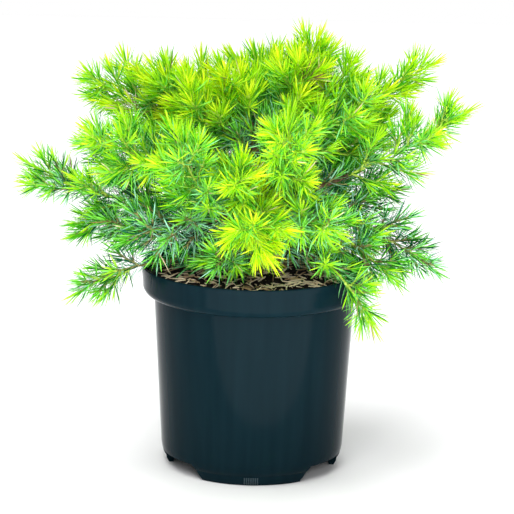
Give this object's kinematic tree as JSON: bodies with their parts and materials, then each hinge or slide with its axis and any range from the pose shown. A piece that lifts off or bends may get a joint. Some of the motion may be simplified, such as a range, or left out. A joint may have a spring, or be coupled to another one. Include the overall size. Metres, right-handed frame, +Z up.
{
  "type": "potted juniper",
  "caption": "Low spreading juniper with lime and blue-green needle sprays on short boughs, growing in a round nursery pot with a rim band and a notched foot.",
  "frame": {"origin": "on the ground, under the middle of the whole plant's outline, close to the pot's axis", "axes": "+X to the right as the plant is seen in the picture, +Y to its back, +Z up"},
  "size_m": [0.3841, 0.2944, 0.3838],
  "materials": {
    "pot_plastic": "dark petrol blue-green moulded plastic, half gloss, with faint drag lines",
    "growing_medium": "dark peat with pale wood shreds",
    "bark": "brown scaly juniper bark",
    "young_needles": "lime to gold young needles",
    "old_needles": "green to blue-green older needles with a pale band"
  },
  "bodies": {
    "root": {"bough_back_left": "bark", "bough_back_low_left": "bark", "bough_back_low_right": "bark", "bough_back_middle": "bark", "bough_back_right": "bark", "bough_front_bright": "bark", "bough_front_left": "bark", "bough_front_right": "bark", "bough_front_upper": "bark", "bough_left_arm": "bark", "bough_left_back": "bark", "bough_left_crest": "bark", "bough_left_droop": "bark", "bough_left_front": "bark", "bough_left_low": "bark", "bough_left_top": "bark", "bough_left_under": "bark", "bough_right_arm": "bark", "bough_right_back": "bark", "bough_right_droop": "bark", "bough_right_edge": "bark", "bough_right_low": "bark", "bough_right_wisp": "bark", "bough_rim_droop": "bark", "foliage_back_left": "old_needles", "foliage_back_low_left": "old_needles", "foliage_back_low_right": "old_needles", "foliage_back_middle": "young_needles", "foliage_back_right": "old_needles", "foliage_back_top": "young_needles", "foliage_front_bright": "young_needles", "foliage_front_left": "young_needles", "foliage_front_low": "old_needles", "foliage_front_middle": "young_needles", "foliage_front_right": "old_needles", "foliage_front_upper": "young_needles", "foliage_left_arm": "old_needles", "foliage_left_back": "old_needles", "foliage_left_crest": "young_needles", "foliage_left_droop": "old_needles", "foliage_left_front": "young_needles", "foliage_left_inner": "young_needles", "foliage_left_low": "old_needles", "foliage_left_top": "young_needles", "foliage_left_under": "old_needles", "foliage_right_arm": "young_needles", "foliage_right_back": "young_needles", "foliage_right_droop": "old_needles", "foliage_right_edge": "young_needles", "foliage_right_hang": "old_needles", "foliage_right_low": "old_needles", "foliage_right_wisp": "young_needles", "foliage_rim_droop": "old_needles", "foliage_top_left": "young_needles", "foliage_top_middle": "young_needles", "foliage_top_peak": "young_needles", "foliage_top_right": "young_needles", "growing_medium": "growing_medium", "main_stem": "bark", "pot": "pot_plastic"}
  },
  "joints": []
}
